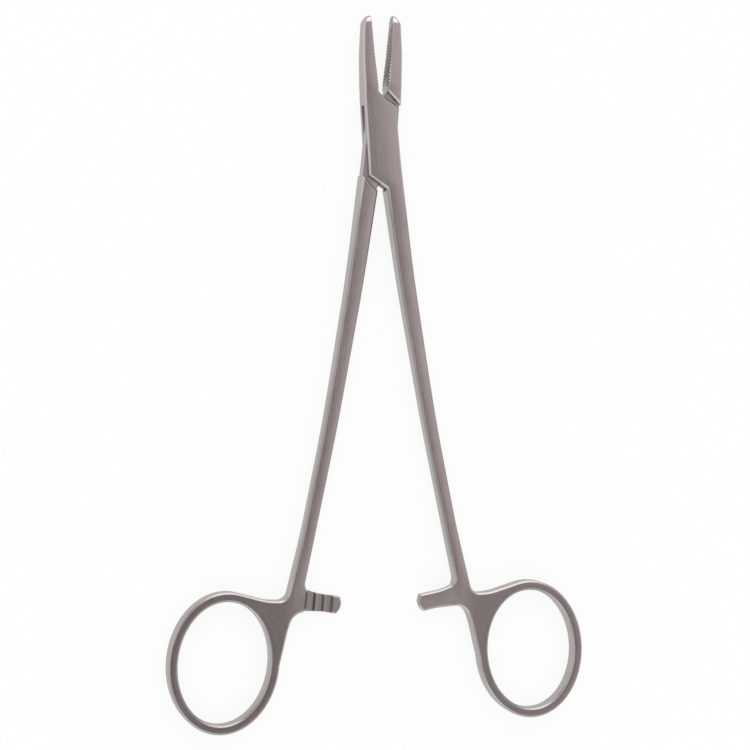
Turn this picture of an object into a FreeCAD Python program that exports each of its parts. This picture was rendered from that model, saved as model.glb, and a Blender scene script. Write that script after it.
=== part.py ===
import FreeCAD, Part
import math
import os
import Sketcher

# Surgical needle holder with a box lock, 180 mm class, lying on its back.
# Z is the thickness, Y points to the jaw tips, X to the right of the tool.
# The pivot axis is X = 0, Y = 0; Z = 0 is the flat back of the box.
#
# Two forged halves cross in the box lock. The box half carries two leaves with
# a slot between them; the tenon half is thinned to a tenon that runs through
# this slot and turns on a pin riveted flush into both leaves.
# Each half is drawn closed, in its own frame: its jaw on the -x side, its shank
# on the +x side. "side" is +1 for the box half and -1 for the mirrored one.

SIZES = {
    # thickness of the forging, seen from the side
    "box_thick": 5.2, "jaw_tip_thick": 3.3, "shank_root_thick": 4.0, "shank_mid_thick": 3.4,
    "ring_thick": 3.8, "box_flat_low": 10.2, "box_flat_high": 13.3, "shank_root_y": 36.0,
    "shank_mid_y": 76.0, "jaw_taper_round": 16.0, "box_taper_round": 160.0,
    "shank_taper_round": 640.0, "ring_taper_round": 960.0, "nose_long": 1.5, "nose_drop": 0.8,
    # jaw, from the tip to its heel at the box
    "jaw_reach": 30.05, "jaw_tip_width": 1.05, "tip_round": 1.2, "tip_side_round": 2.0,
    "tip_long": 1.6, "tip_corner_x": 2.2, "jaw_mid_down": 9.05, "jaw_mid_x": 3.17,
    "jaw_root_y": 9.0, "jaw_root_x": 3.87, "jaw_round": 60.0, "face_gap": 0.1,
    "heel_y": 11.3, "heel_long": 1.0, "heel_relief": 0.22,
    # box lock: leaves of the box half, tenon of the other half
    "box_side_x": 4.1, "leaf_low_x": 4.36, "leaf_low_y": 9.4,
    "crotch_y": 12.85, "leaf_top_x": 3.9, "leaf_top_y": 7.75, "leaf_top_cut": 0.75,
    "leaf_nose_x": 0.58, "leaf_nose_drop": 1.0, "tenon_top_y": 5.5,
    "tenon_nose_x": 0.49, "tenon_nose_drop": 1.2, "tenon_low_x": 0.55, "tenon_low_drop": 1.15,
    "slot_wide": 2.4, "slot_play": 0.05, "slot_wall_play": 0.45, "slot_run": 1.9,
    "slot_end_x": 0.7, "shoulder_play": 0.65, "shoulder_play_out": 0.5,
    "shoulder_play_in": 0.72,
    # pin
    "pin_radius": 1.2, "pin_play": 0.04, "pin_head": 0.3, "pin_head_deep": 0.35,
    # shank, outer and inner edge
    "seam_y": 1.0, "waist_y": 7.0, "waist_round": 180.0,
    "out_a_x": 5.1, "out_a_y": 34.0, "out_b_x": 7.75, "out_b_y": 71.0,
    "out_c_x": 10.85, "neck_long": 17.3, "neck_round": 160.0,
    "in_a_x": 1.35, "in_a_y": 37.0, "in_b_x": 4.7, "in_b_y": 74.0, "shank_round": 500.0,
    # ratchet arm, from its middle line, and where the shank ends in it
    "arm_y": 116.8, "neck_x": 13.5, "neck_wide": 4.05, "arm_up": 1.65, "arm_down": 2.7,
    "arm_mid_x": 5.4, "arm_mid_up": 2.08, "arm_root_up": 3.25, "arm_fillet": 1.8,
    "arm_round": 20.0, "arm_end_x": 1.08, "arm_top_x": 0.55, "arm_corner_x": 0.05,
    "arm_corner_up": 1.3, "arm_low_x": 3.5, "arm_low_down": 2.3, "arm_nose_round": 0.56,
    "arm_play": 0.15, "arm_ramp_in": 1.15,
    "arm_ramp_out": 0.15, "arm_ramp_round": 2.2, "arm_cut_up": 4.1, "arm_bevel": 0.25,
    "tooth_pitch": 2.25, "tooth_deep": 0.4, "tooth_first_x": 1.4, "tooth_flank": 2.1,
    "tooth_lean": 0.3,
    # finger ring, and the web between it, the shank and the arm
    "ring_side_in": 0.43, "ring_top_up": 1.38, "ring_flat_up": 0.8, "ring_half_wide": 12.86,
    "ring_half_long": 16.48, "ring_band": 1.19, "valley_out": 4.9, "valley_sink": 0.25,
    "valley_round": 2.6, "valley_soft_round": 14.0, "valley_end_in": 2.1, "web_top_in": 2.0,
    "web_top_down": 2.5,
    "web_mid_in": 0.8, "web_mid_sink": 7.6, "web_round": 4.0, "web_soft_round": 20.0,
    # diamond serration of the jaw faces
    "cut_pitch": 0.8, "cut_half_wide": 0.25, "cut_deep": 0.28, "cut_turn": 45.0,
    "cut_first_in": 0.2, "cut_last_in": 2.2,
    # hand-ground bevels
    "bevel": 0.42, "shoulder_bevel": 0.45, "tenon_bevel": 0.2,
    # the open pose: each half is turned by this angle
    "half_open": 5.325,
}

FAR = 60.0


class Size:
    """A length with its value and the sheet expression that drives it."""

    def __init__(self, value, text):
        self.value = value
        self.text = text

    def __add__(self, other):
        return Size(self.value + other.value, "(%s + %s)" % (self.text, other.text))

    def __sub__(self, other):
        return Size(self.value - other.value, "(%s - %s)" % (self.text, other.text))

    def __neg__(self):
        return Size(-self.value, "(-1 * %s)" % self.text)

    def __mul__(self, factor):
        if isinstance(factor, Size):
            return Size(self.value * factor.value, "(%s * %s)" % (self.text, factor.text))
        return Size(self.value * factor, "(%s * %r)" % (self.text, factor))

    def __truediv__(self, other):
        return Size(self.value / other.value, "(%s / %s)" % (self.text, other.text))

    def root(self):
        """The square root."""
        return Size(math.sqrt(self.value), "sqrt(%s)" % self.text)


ZERO = Size(0.0, "0")


def fixed(value):
    """A plain length that only has to reach past the material."""
    return Size(value, "%r" % value)


def make_sheet(doc):
    """Write every driving dimension into one sheet."""
    sheet = doc.addObject("Spreadsheet::Sheet", "sizes")
    for row, (name, value) in enumerate(SIZES.items(), start=1):
        sheet.set("A%d" % row, name)
        sheet.set("B%d" % row, "%r" % value)
        sheet.setAlias("B%d" % row, name)
    doc.recompute()
    val = {name: Size(float(sheet.get(name)), "sizes.%s" % name) for name in SIZES}
    val["heel_top"] = val["heel_y"] + val["heel_long"]
    val["leaf_nose_y"] = val["heel_y"] - val["leaf_nose_drop"]
    val["tenon_nose_y"] = val["heel_y"] - val["tenon_nose_drop"]
    val["arm_root_x"] = val["neck_x"] - val["neck_wide"]
    val["ring_edge_wide"] = val["ring_half_wide"] + val["ring_band"]
    val["ring_edge_long"] = val["ring_half_long"] + val["ring_band"]
    val["ring_x"] = val["neck_x"] + val["ring_side_in"] + val["ring_edge_wide"]
    val["ring_y"] = val["arm_y"] - val["ring_top_up"] + val["ring_edge_long"]
    return val


def sketch_on(body, role, name, offset=None):
    """An empty sketch on one of the body's origin planes."""
    sketch = body.newObject("Sketcher::SketchObject", name)
    plane = [f for f in body.Origin.OriginFeatures if f.Role == role][0]
    sketch.AttachmentSupport = [(plane, "")]
    sketch.MapMode = "FlatFace"
    if offset is not None:
        sketch.setExpression("AttachmentOffset.Base.z", offset.text)
    return sketch


def bind(sketch, pairs):
    """Add constraints and tie the ones with a size to the sheet."""
    first = sketch.ConstraintCount
    sketch.addConstraint([constraint for constraint, size in pairs])
    for index, (constraint, size) in enumerate(pairs):
        if size is not None:
            sketch.setExpression("Constraints[%d]" % (first + index), size.text)


def corner_arc(before, corner, after, radius):
    """Tangent points and arc of a rounded corner; left is True for a left turn."""
    inward = (before - corner).normalize()
    onward = (after - corner).normalize()
    cosine = max(-1.0, min(1.0, inward.dot(onward)))
    half = math.acos(cosine) / 2.0
    reach = radius / math.tan(half)
    start = corner + inward * reach
    end = corner + onward * reach
    middle = corner + (inward + onward).normalize() * (radius / math.sin(half))
    left = inward.cross(onward).z < 0
    first, last = (start, end) if left else (end, start)
    angle_a = math.atan2(first.y - middle.y, first.x - middle.x)
    angle_b = math.atan2(last.y - middle.y, last.x - middle.x)
    circle = Part.Circle(middle, FreeCAD.Vector(0, 0, 1), radius)
    return start, end, Part.ArcOfCircle(circle, angle_a, angle_b), left


def outline(sketch, corners):
    """A closed outline through corners (x, y, radius or None), all tied to the sheet."""
    points = [FreeCAD.Vector(x.value, y.value, 0) for x, y, radius in corners]
    count = len(points)
    arrive, leave, arcs = {}, {}, {}
    for i, (x, y, radius) in enumerate(corners):
        arrive[i] = leave[i] = points[i]
        if radius is not None:
            before, after = points[i - 1], points[(i + 1) % count]
            arrive[i], leave[i], arc, left = corner_arc(before, points[i], after, radius.value)
            arcs[i] = (arc, left)
    lines = [sketch.addGeometry(Part.LineSegment(leave[i], arrive[(i + 1) % count]))
             for i in range(count)]
    pairs = []
    for i, (x, y, radius) in enumerate(corners):
        enter, quit_line = lines[i - 1], lines[i]
        if radius is None:
            pairs.append((Sketcher.Constraint("Coincident", enter, 2, quit_line, 1), None))
            where, spot = quit_line, 1
        else:
            arc, left = arcs[i]
            bend = sketch.addGeometry(arc)
            first, last = (1, 2) if left else (2, 1)
            where = sketch.addGeometry(Part.Point(points[i]), True)
            spot = 1
            pairs.append((Sketcher.Constraint("Tangent", enter, 2, bend, first), None))
            pairs.append((Sketcher.Constraint("Tangent", bend, last, quit_line, 1), None))
            pairs.append((Sketcher.Constraint("PointOnObject", where, 1, enter), None))
            pairs.append((Sketcher.Constraint("PointOnObject", where, 1, quit_line), None))
            pairs.append((Sketcher.Constraint("Radius", bend, radius.value), radius))
        pairs.append((Sketcher.Constraint("DistanceX", -1, 1, where, spot, x.value), x))
        pairs.append((Sketcher.Constraint("DistanceY", -1, 1, where, spot, y.value), y))
    bind(sketch, pairs)


def ellipse(sketch, x, y, wide, long):
    """An upright ellipse with half axes wide and long."""
    centre = FreeCAD.Vector(x.value, y.value, 0)
    top = centre + FreeCAD.Vector(0, long.value, 0)
    beside = centre + FreeCAD.Vector(-wide.value, 0, 0)
    curve = sketch.addGeometry(Part.Ellipse(top, beside, centre))
    sketch.exposeInternalGeometry(curve)
    major, minor = curve + 1, curve + 2
    bind(sketch, [
        (Sketcher.Constraint("DistanceX", -1, 1, curve, 3, x.value), x),
        (Sketcher.Constraint("DistanceY", -1, 1, curve, 3, y.value), y),
        (Sketcher.Constraint("Vertical", major), None),
        (Sketcher.Constraint("Distance", major, 2 * long.value), long * 2.0),
        (Sketcher.Constraint("Distance", minor, 2 * wide.value), wide * 2.0)])


def circle(sketch, radius):
    """A circle round the pivot axis."""
    ring = sketch.addGeometry(Part.Circle(FreeCAD.Vector(0, 0, 0), FreeCAD.Vector(0, 0, 1),
                                          radius.value))
    bind(sketch, [(Sketcher.Constraint("Coincident", ring, 3, -1, 1), None),
                  (Sketcher.Constraint("Radius", ring, radius.value), radius)])


def pad(body, sketch, name, thick):
    """Extrude a sketch to both sides of its plane."""
    feature = body.newObject("PartDesign::Pad", name)
    feature.Profile = sketch
    feature.Midplane = True
    feature.Length = thick.value
    feature.setExpression("Length", thick.text)
    return feature


def cut_through(body, sketch, name):
    """Cut a sketch through everything, to both sides of its plane."""
    feature = body.newObject("PartDesign::Pocket", name)
    feature.Profile = sketch
    feature.Midplane = True
    feature.Length = 2 * FAR
    return feature


def cut_between(body, sketch, name, deep):
    """Cut a sketch to both sides of its plane over a set depth."""
    feature = cut_through(body, sketch, name)
    feature.Length = deep.value
    feature.setExpression("Length", deep.text)
    return feature


def cut_ahead(body, sketch, name, deep):
    """Cut a sketch along its own normal."""
    feature = body.newObject("PartDesign::Pocket", name)
    feature.Profile = sketch
    feature.Reversed = True
    feature.Length = deep.value
    feature.setExpression("Length", deep.text)
    return feature


def repeat(body, feature, name, role, length, count):
    """Repeat a cut along one of the body's axes."""
    pattern = body.newObject("PartDesign::LinearPattern", name)
    pattern.Originals = [feature]
    axis = [f for f in body.Origin.OriginFeatures if f.Role == role][0]
    pattern.Direction = (axis, [""])
    pattern.Length = abs(length.value)
    pattern.Reversed = length.value < 0
    pattern.setExpression("Length", (length if length.value > 0 else -length).text)
    pattern.Occurrences = count
    body.Tip = pattern
    return pattern


def chamfer(body, name, size, wanted):
    """Bevel the edges for which wanted(edge, faces) holds."""
    base = body.Tip
    picked = []
    for index, edge in enumerate(base.Shape.Edges, start=1):
        faces = base.Shape.ancestorsOfType(edge, Part.Face)
        if len(faces) == 2 and wanted(edge, faces):
            picked.append("Edge%d" % index)
    feature = body.newObject("PartDesign::Chamfer", name)
    feature.Base = (base, picked)
    feature.Size = size.value
    feature.setExpression("Size", size.text)
    return feature


def middle(edge):
    """The point halfway along an edge."""
    return edge.valueAt((edge.FirstParameter + edge.LastParameter) / 2.0)


def face_normal(face, point):
    """The outward normal of a face at a point on it."""
    u, v = face.Surface.parameter(point)
    return face.normalAt(u, v)


def flat_and_wall(edge, faces):
    """True where the front or back meets an upright wall."""
    slopes = sorted(abs(face_normal(face, middle(edge)).z) for face in faces)
    return slopes[0] < 0.05 and slopes[1] > 0.8


def outer(body, edge, faces):
    """True where the two faces meet in a ridge, not in a groove."""
    point = middle(edge)
    normals = sorted((face_normal(face, point) for face in faces), key=lambda n: abs(n.z))
    probe = point + normals[0] * 0.05 - normals[1] * 0.05
    return not body.Tip.Shape.isInside(probe, 0.001, True)


def jaw_corners(val, side):
    """The outline from the seam up round the jaw and back to the seam."""
    flip = float(side)
    face = -val["face_gap"] * flip
    nose = [(val["box_side_x"] * flip, -val["seam_y"], None)]
    if side > 0:
        nose += [(val["box_side_x"], val["leaf_top_y"] - val["leaf_top_cut"], None),
                 (val["leaf_top_x"], val["leaf_top_y"], None),
                 (val["leaf_nose_x"], val["leaf_nose_y"], None)]
    else:
        nose += [(-val["box_side_x"], val["tenon_top_y"], None),
                 (-val["tenon_nose_x"], val["tenon_nose_y"], None)]
    return nose + [
        (-val["heel_relief"] * flip, val["heel_y"], None),
        (face, val["heel_top"], None),
        (face, val["jaw_reach"], None),
        (-val["jaw_tip_width"] * flip, val["jaw_reach"], val["tip_round"]),
        (-val["tip_corner_x"] * flip, val["jaw_reach"] - val["tip_long"], val["tip_side_round"]),
        (-val["jaw_mid_x"] * flip, val["jaw_reach"] - val["jaw_mid_down"], val["jaw_round"]),
        (-val["jaw_root_x"] * flip, val["jaw_root_y"], val["jaw_round"]),
        (-val["box_side_x"] * flip, -val["seam_y"], None)]


def shank_corners(val, side):
    """The outline from the seam down round shank, arm and web."""
    flip = float(side)
    if side > 0:
        start = [(-val["box_side_x"], -val["seam_y"], None),
                 (-val["leaf_low_x"], -val["leaf_low_y"], None)]
    else:
        start = [(val["box_side_x"], -val["seam_y"], None),
                 (val["box_side_x"], -val["tenon_top_y"], None),
                 (val["tenon_low_x"], -val["crotch_y"] + val["tenon_low_drop"], None)]
    start.append((ZERO, -val["crotch_y"], None))
    arm, neck = val["arm_y"], val["neck_x"]
    ring_left = val["ring_x"] - val["ring_edge_wide"]
    inside_x = ring_left + val["ring_band"] * 3.0
    end_share = val["valley_end_in"] / val["ring_edge_wide"]
    end_rise = (Size(1.0, "1") - end_share * end_share).root() * val["ring_edge_long"]
    end_x = val["ring_x"] - val["valley_end_in"]
    end_y = end_rise - val["ring_y"]
    rest = [
        (val["in_a_x"], -val["in_a_y"], val["shank_round"]),
        (val["in_b_x"], -val["in_b_y"], val["shank_round"]),
        (val["arm_root_x"], val["arm_root_up"] - arm, val["arm_fillet"]),
        (val["arm_mid_x"], val["arm_mid_up"] - arm, val["arm_round"]),
        (-val["arm_top_x"], val["arm_up"] - arm, val["arm_nose_round"]),
        (-val["arm_end_x"], -arm, val["arm_nose_round"]),
        (-val["arm_end_x"] * 0.8, -arm - val["arm_corner_up"], val["arm_nose_round"]),
        (val["arm_corner_x"], -arm - val["arm_down"], val["arm_nose_round"]),
        (val["arm_low_x"], -arm - val["arm_low_down"], val["arm_round"]),
        (neck - val["web_top_in"], -arm - val["web_top_down"], val["web_round"]),
        (neck - val["web_mid_in"], -arm - val["web_mid_sink"], val["web_soft_round"]),
        (ring_left, -val["ring_y"], None),
        (inside_x, -val["ring_y"], None),
        (end_x, end_y - val["ring_band"], None),
        (end_x, end_y, None),
        (neck + val["valley_out"], -arm - val["valley_sink"], val["valley_soft_round"]),
        (neck, -arm, val["valley_round"]),
        (val["out_c_x"], val["neck_long"] - arm, val["neck_round"]),
        (val["out_b_x"], -val["out_b_y"], val["shank_round"]),
        (val["out_a_x"], -val["out_a_y"], val["shank_round"]),
        (val["box_side_x"], -val["waist_y"], val["waist_round"]),
        (val["box_side_x"], -val["seam_y"], None)]
    return start + [(x * flip, y, radius) for x, y, radius in rest]


def profile_corners(val, face):
    """What is cut away in front of (face = 1) or behind (face = -1) the forging."""
    tip = val["jaw_tip_thick"] * 0.5
    past = val["nose_drop"] / val["nose_long"]
    ring_flat = val["arm_y"] - val["ring_flat_up"]
    up = [(val["jaw_reach"] + val["nose_long"] * 0.5, fixed(FAR / 2.0), None),
          (val["jaw_reach"] + val["nose_long"] * 0.5, tip - past * val["nose_long"] * 1.5, None),
          (val["jaw_reach"] - val["nose_long"], tip, val["tip_round"]),
          (val["box_flat_high"], val["box_thick"] * 0.5, val["jaw_taper_round"]),
          (-val["box_flat_low"], val["box_thick"] * 0.5, val["box_taper_round"]),
          (-val["shank_root_y"], val["shank_root_thick"] * 0.5, val["shank_taper_round"]),
          (-val["shank_mid_y"], val["shank_mid_thick"] * 0.5, val["ring_taper_round"]),
          (-ring_flat, val["ring_thick"] * 0.5, val["ring_taper_round"]),
          (fixed(-4 * FAR), val["ring_thick"] * 0.5, None),
          (fixed(-4 * FAR), fixed(FAR / 2.0), None)]
    return [(x, y * float(face), radius) for x, y, radius in up]


def forge_blank(body, val, side):
    """The flat forging of one half with its ring, thickness and bevels."""
    stock = val["box_thick"] * 1.5
    jaw = sketch_on(body, "XY_Plane", body.Name + "_jaw_outline")
    outline(jaw, jaw_corners(val, side))
    pad(body, jaw, body.Name + "_jaw", stock)
    shank = sketch_on(body, "XY_Plane", body.Name + "_shank_outline")
    outline(shank, shank_corners(val, side))
    pad(body, shank, body.Name + "_shank", stock)
    x = val["ring_x"] * float(side)
    rim = sketch_on(body, "XY_Plane", body.Name + "_ring_outline")
    ellipse(rim, x, -val["ring_y"], val["ring_edge_wide"], val["ring_edge_long"])
    pad(body, rim, body.Name + "_ring", stock)
    for face, name in ((1, "front"), (-1, "back")):
        side_view = sketch_on(body, "YZ_Plane", "%s_%s_profile" % (body.Name, name))
        outline(side_view, profile_corners(val, face))
        cut_through(body, side_view, "%s_%s_taper" % (body.Name, name))
    hole = sketch_on(body, "XY_Plane", body.Name + "_finger_outline")
    ellipse(hole, x, -val["ring_y"], val["ring_half_wide"] - val["ring_band"],
            val["ring_half_long"] - val["ring_band"])
    cut_through(body, hole, body.Name + "_finger_hole")
    body.Document.recompute()

    def rim_edge(edge, faces):
        point = middle(edge)
        face_of_jaw = abs(point.x) < val["face_gap"].value * 1.5 and (
            point.y > val["heel_y"].value)
        heel = abs(point.x) < val["tenon_nose_x"].value and (
            val["leaf_nose_y"].value < point.y < val["heel_top"].value)
        return flat_and_wall(edge, faces) and not (face_of_jaw or heel)

    chamfer(body, body.Name + "_bevels", val["bevel"], rim_edge)


def serrate(body, val, side):
    """Diamond serration: two rows of slanting grooves cross on the face of the jaw."""
    face = -val["face_gap"] * float(side)
    deep = val["cut_deep"] * float(side)
    wide = val["cut_half_wide"]
    first_y = val["heel_top"] + val["box_thick"] * 0.5 + val["cut_first_in"]
    last_y = val["jaw_reach"] - val["jaw_tip_thick"] * 0.5 - val["cut_last_in"]
    length = last_y - first_y
    count = int(round(length.value / val["cut_pitch"].value)) + 1
    for lean, name in ((1.0, "up"), (-1.0, "down")):
        groove = sketch_on(body, "XY_Plane", "%s_%s_groove_outline" % (body.Name, name))
        groove.AttachmentOffset = FreeCAD.Placement(
            FreeCAD.Vector(), FreeCAD.Rotation(FreeCAD.Vector(lean, 0, 0), val["cut_turn"].value))
        groove.setExpression("AttachmentOffset.Rotation.Angle", val["cut_turn"].text)
        groove.setExpression("AttachmentOffset.Base.y", first_y.text)
        outline(groove, [(face - deep, ZERO, None), (face + deep * 0.5, -wide * 1.5, None),
                         (face + deep * 0.5, wide * 1.5, None)])
        first = cut_through(body, groove, "%s_%s_groove" % (body.Name, name))
        repeat(body, first, "%s_%s_serration" % (body.Name, name), "Y_Axis", length, count)


def ratchet(body, val, side):
    """Thin the arm to half depth and cut the saw teeth of the catch."""
    flip = float(side)
    level = val["arm_play"] * flip
    away = -val["box_thick"] * (0.5 * flip)
    free = -(val["arm_end_x"] + val["box_thick"]) * flip
    reach = val["arm_cut_up"] + val["arm_down"] * 2.0
    start = val["arm_y"] - val["arm_cut_up"]
    arm = sketch_on(body, "XZ_Plane", body.Name + "_arm_outline", start)
    outline(arm, [(free, level, None),
                  ((val["arm_root_x"] - val["arm_ramp_in"]) * flip, level,
                   val["arm_ramp_round"]),
                  ((val["arm_root_x"] - val["arm_ramp_out"]) * flip, away, None),
                  (free, away, None)])
    cut_ahead(body, arm, body.Name + "_arm_step", reach)
    body.Document.recompute()

    def arm_edge(edge, faces):
        inside = abs(middle(edge).z - level.value) < val["arm_play"].value * 0.1
        return inside and flat_and_wall(edge, faces) and outer(body, edge, faces)

    chamfer(body, body.Name + "_arm_bevels", val["arm_bevel"], arm_edge)
    tooth = sketch_on(body, "XZ_Plane", body.Name + "_tooth_outline", start)
    foot = val["tooth_first_x"] * flip
    over = level - val["arm_play"] * flip
    outline(tooth, [(foot, over, None), (foot, level, None),
                    (foot + val["tooth_lean"] * flip, level + val["tooth_deep"] * flip, None),
                    (foot + val["tooth_flank"] * flip, level, None),
                    (foot + val["tooth_flank"] * flip, over, None)])
    first = cut_ahead(body, tooth, body.Name + "_tooth", reach)
    repeat(body, first, body.Name + "_teeth", "X_Axis", val["tooth_pitch"] * (2.0 * flip), 3)


def box_half(doc, val):
    """The half with the box: two leaves with a slot for the tenon."""
    body = doc.addObject("PartDesign::Body", "box_half")
    forge_blank(body, val, 1)
    slot = sketch_on(body, "XY_Plane", "box_half_slot_outline")
    gap = val["slot_wall_play"]
    far = val["box_side_x"] * 2.0
    outline(slot, [(-far, val["tenon_top_y"] + gap * 2.0, None),
                   (-val["box_side_x"] - gap, val["tenon_top_y"] + gap * 4.6, None),
                   (-val["tenon_nose_x"] - gap, val["tenon_nose_y"] - gap * 0.3, None),
                   (-val["heel_relief"] - gap * 0.2, val["heel_top"], None),
                   (far, val["heel_top"], None),
                   (far, -val["tenon_top_y"] - gap * 2.0, None),
                   (val["box_side_x"] + gap, -val["tenon_top_y"] - gap * 2.0, None),
                   (val["tenon_low_x"] + val["slot_play"],
                    -val["crotch_y"] - val["slot_play"] * 2.0, None),
                   (-val["slot_end_x"], -val["crotch_y"] - val["slot_run"], None),
                   (-far, -val["crotch_y"] - val["slot_run"], None)])
    cut_between(body, slot, "box_half_slot", val["slot_wide"])
    bore(body, val)
    ratchet(body, val, 1)
    serrate(body, val, 1)
    return body


def bore(body, val):
    """The countersunk bore that holds the riveted pin."""
    shape = sketch_on(body, "XZ_Plane", "box_half_bore_outline")
    outline(shape, pin_corners(val))
    feature = body.newObject("PartDesign::Groove", "box_half_bore")
    feature.Profile = shape
    feature.ReferenceAxis = (shape, ["V_Axis"])
    feature.Angle = 360.0


def pin_corners(val):
    """Half section of the pin: a shaft with two flush riveted ends."""
    top = val["box_thick"] * 0.5
    neck = top - val["pin_head_deep"]
    wide = val["pin_radius"] + val["pin_head"]
    return [(ZERO, top, None), (ZERO, -top, None), (wide, -top, None),
            (val["pin_radius"], -neck, None), (val["pin_radius"], neck, None), (wide, top, None)]


def tenon_half(doc, val):
    """The mirrored half, thinned between two shoulders to the tenon."""
    body = doc.addObject("PartDesign::Body", "tenon_half")
    forge_blank(body, val, -1)
    tenon = val["slot_wide"] * 0.5 - val["slot_play"]
    for face, name in ((1, "front"), (-1, "back")):
        recess = sketch_on(body, "XY_Plane", "tenon_half_%s_recess_outline" % name,
                           tenon * float(face))
        outline(recess, recess_corners(val))
        feature = body.newObject("PartDesign::Pocket", "tenon_half_%s_recess" % name)
        feature.Profile = recess
        feature.Reversed = face > 0
        feature.Length = val["box_thick"].value
        feature.setExpression("Length", val["box_thick"].text)
    doc.recompute()

    def shoulder_edge(edge, faces):
        point = middle(edge)
        up = val["leaf_top_y"].value - 1.0 < point.y < val["heel_top"].value
        low = -val["crotch_y"].value - 2.2 < point.y < -val["leaf_low_y"].value + 0.5
        outside = abs(point.z) > val["slot_wide"].value
        if not (outside and (up or low) and flat_and_wall(edge, faces)):
            return False
        walls = [face_normal(face, point) for face in faces]
        wall = min(walls, key=lambda normal: abs(normal.z))
        return abs(wall.x) > 0.4 and abs(wall.y) > 0.4

    chamfer(body, "tenon_half_shoulder_bevels", val["shoulder_bevel"], shoulder_edge)
    doc.recompute()

    def tenon_edge(edge, faces):
        point = middle(edge)
        thin = abs(abs(point.z) - tenon.value) < val["slot_play"].value * 0.1
        between = -val["crotch_y"].value < point.y < val["tenon_nose_y"].value
        return thin and between and flat_and_wall(edge, faces) and outer(body, edge, faces)

    chamfer(body, "tenon_half_tenon_bevels", val["tenon_bevel"], tenon_edge)
    eye = sketch_on(body, "XY_Plane", "tenon_half_eye_outline")
    circle(eye, val["pin_radius"] + val["pin_play"])
    cut_through(body, eye, "tenon_half_eye")
    ratchet(body, val, -1)
    serrate(body, val, -1)
    return body


def recess_corners(val):
    """The region between the two shoulders where the half is thinned."""
    out_x, out_y = val["leaf_top_x"], val["leaf_top_y"] + val["shoulder_play_out"]
    in_x, in_y = val["leaf_nose_x"], val["leaf_nose_y"] + val["shoulder_play_in"]
    low_y = -val["crotch_y"] - val["shoulder_play"]
    run_x, run_y = out_x - in_x, in_y - out_y
    low_x, low_run = val["leaf_low_x"], val["crotch_y"] - val["leaf_low_y"]
    return [(in_x - run_x * 1.5, in_y + run_y * 1.5, None),
            (out_x + run_x, out_y - run_y, None),
            (out_x + run_x, low_y - low_run, None),
            (low_x, low_y - low_run, None),
            (low_x * -2.0, low_y + low_run * 2.0, None),
            (low_x * -2.0, in_y + run_y * 1.5, None)]


def joint_pin(doc, val):
    """The pin, a plain shaft with two flush riveted ends."""
    body = doc.addObject("PartDesign::Body", "joint_pin")
    shape = sketch_on(body, "XZ_Plane", "joint_pin_outline")
    outline(shape, pin_corners(val))
    feature = body.newObject("PartDesign::Revolution", "joint_pin_turned")
    feature.Profile = shape
    feature.ReferenceAxis = (shape, ["V_Axis"])
    feature.Angle = 360.0
    return body


def place(body, val, turn):
    """Lift a piece so that the back of the box is at Z = 0 and turn it open."""
    body.Placement = FreeCAD.Placement(FreeCAD.Vector(0, 0, val["box_thick"].value / 2.0),
                                       FreeCAD.Rotation(FreeCAD.Vector(0, 0, 1), 0.001))
    body.setExpression("Placement.Base.z", "sizes.box_thick / 2")
    body.setExpression("Placement.Rotation.Angle", "sizes.half_open * %r" % turn)


def check(doc, bodies):
    """Stop before anything is written if a feature or a piece has failed."""
    for item in doc.Objects:
        if "Invalid" in item.State or "Error" in item.State:
            raise RuntimeError("%s failed: %s" % (item.Name, item.State))
    for body in bodies:
        shape = body.Shape
        if shape.isNull() or not shape.isValid() or len(shape.Solids) != 1:
            raise RuntimeError("%s is not one sound solid" % body.Name)


def main():
    doc = FreeCAD.newDocument("needle_holder")
    val = make_sheet(doc)
    bodies = [box_half(doc, val), tenon_half(doc, val), joint_pin(doc, val)]
    for body, turn in zip(bodies, (1.0, -1.0, 0.0)):
        place(body, val, turn)
        body.Label = body.Name
    doc.recompute()
    check(doc, bodies)
    os.makedirs("parts", exist_ok=True)
    for body in bodies:
        body.Shape.exportStep("parts/%s.step" % body.Label)
        box = body.Shape.BoundBox
        print(body.Label, round(body.Shape.Volume, 1), box)


main()
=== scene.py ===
"""Looks and studio for a surgical needle holder with a box lock, lying open on its back."""

import logging
import math
from dataclasses import dataclass, field
from enum import Enum
from typing import Union

import bpy
from mathutils import Matrix, Vector

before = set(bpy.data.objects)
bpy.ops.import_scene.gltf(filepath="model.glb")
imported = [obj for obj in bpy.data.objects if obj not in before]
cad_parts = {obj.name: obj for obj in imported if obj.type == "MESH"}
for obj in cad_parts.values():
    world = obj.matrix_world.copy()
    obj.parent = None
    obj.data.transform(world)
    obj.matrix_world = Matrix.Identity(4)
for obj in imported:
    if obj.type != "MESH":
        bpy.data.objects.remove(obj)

LOG = logging.getLogger("needle_holder")
MM = 0.001
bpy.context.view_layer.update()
ARM_BAND = (-116.5, 4.0)  # middle and half width of the ratchet arms along Y, in mm

Colour = tuple[float, float, float]
Pair = tuple[float, float]
Triple = tuple[float, float, float]
Socket = bpy.types.NodeSocket
Feed = Union[Socket, float, Triple]


class Side(Enum):
    """On which side of the closed tool the ring of a half lies."""

    RIGHT = 1.0
    LEFT = -1.0


class Blend(Enum):
    """What a mix node mixes, as its data type and the ending of its sockets."""

    NUMBER = ("FLOAT", "Float")
    DIRECTION = ("VECTOR", "Vector")
    COLOUR = ("RGBA", "Color")


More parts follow.
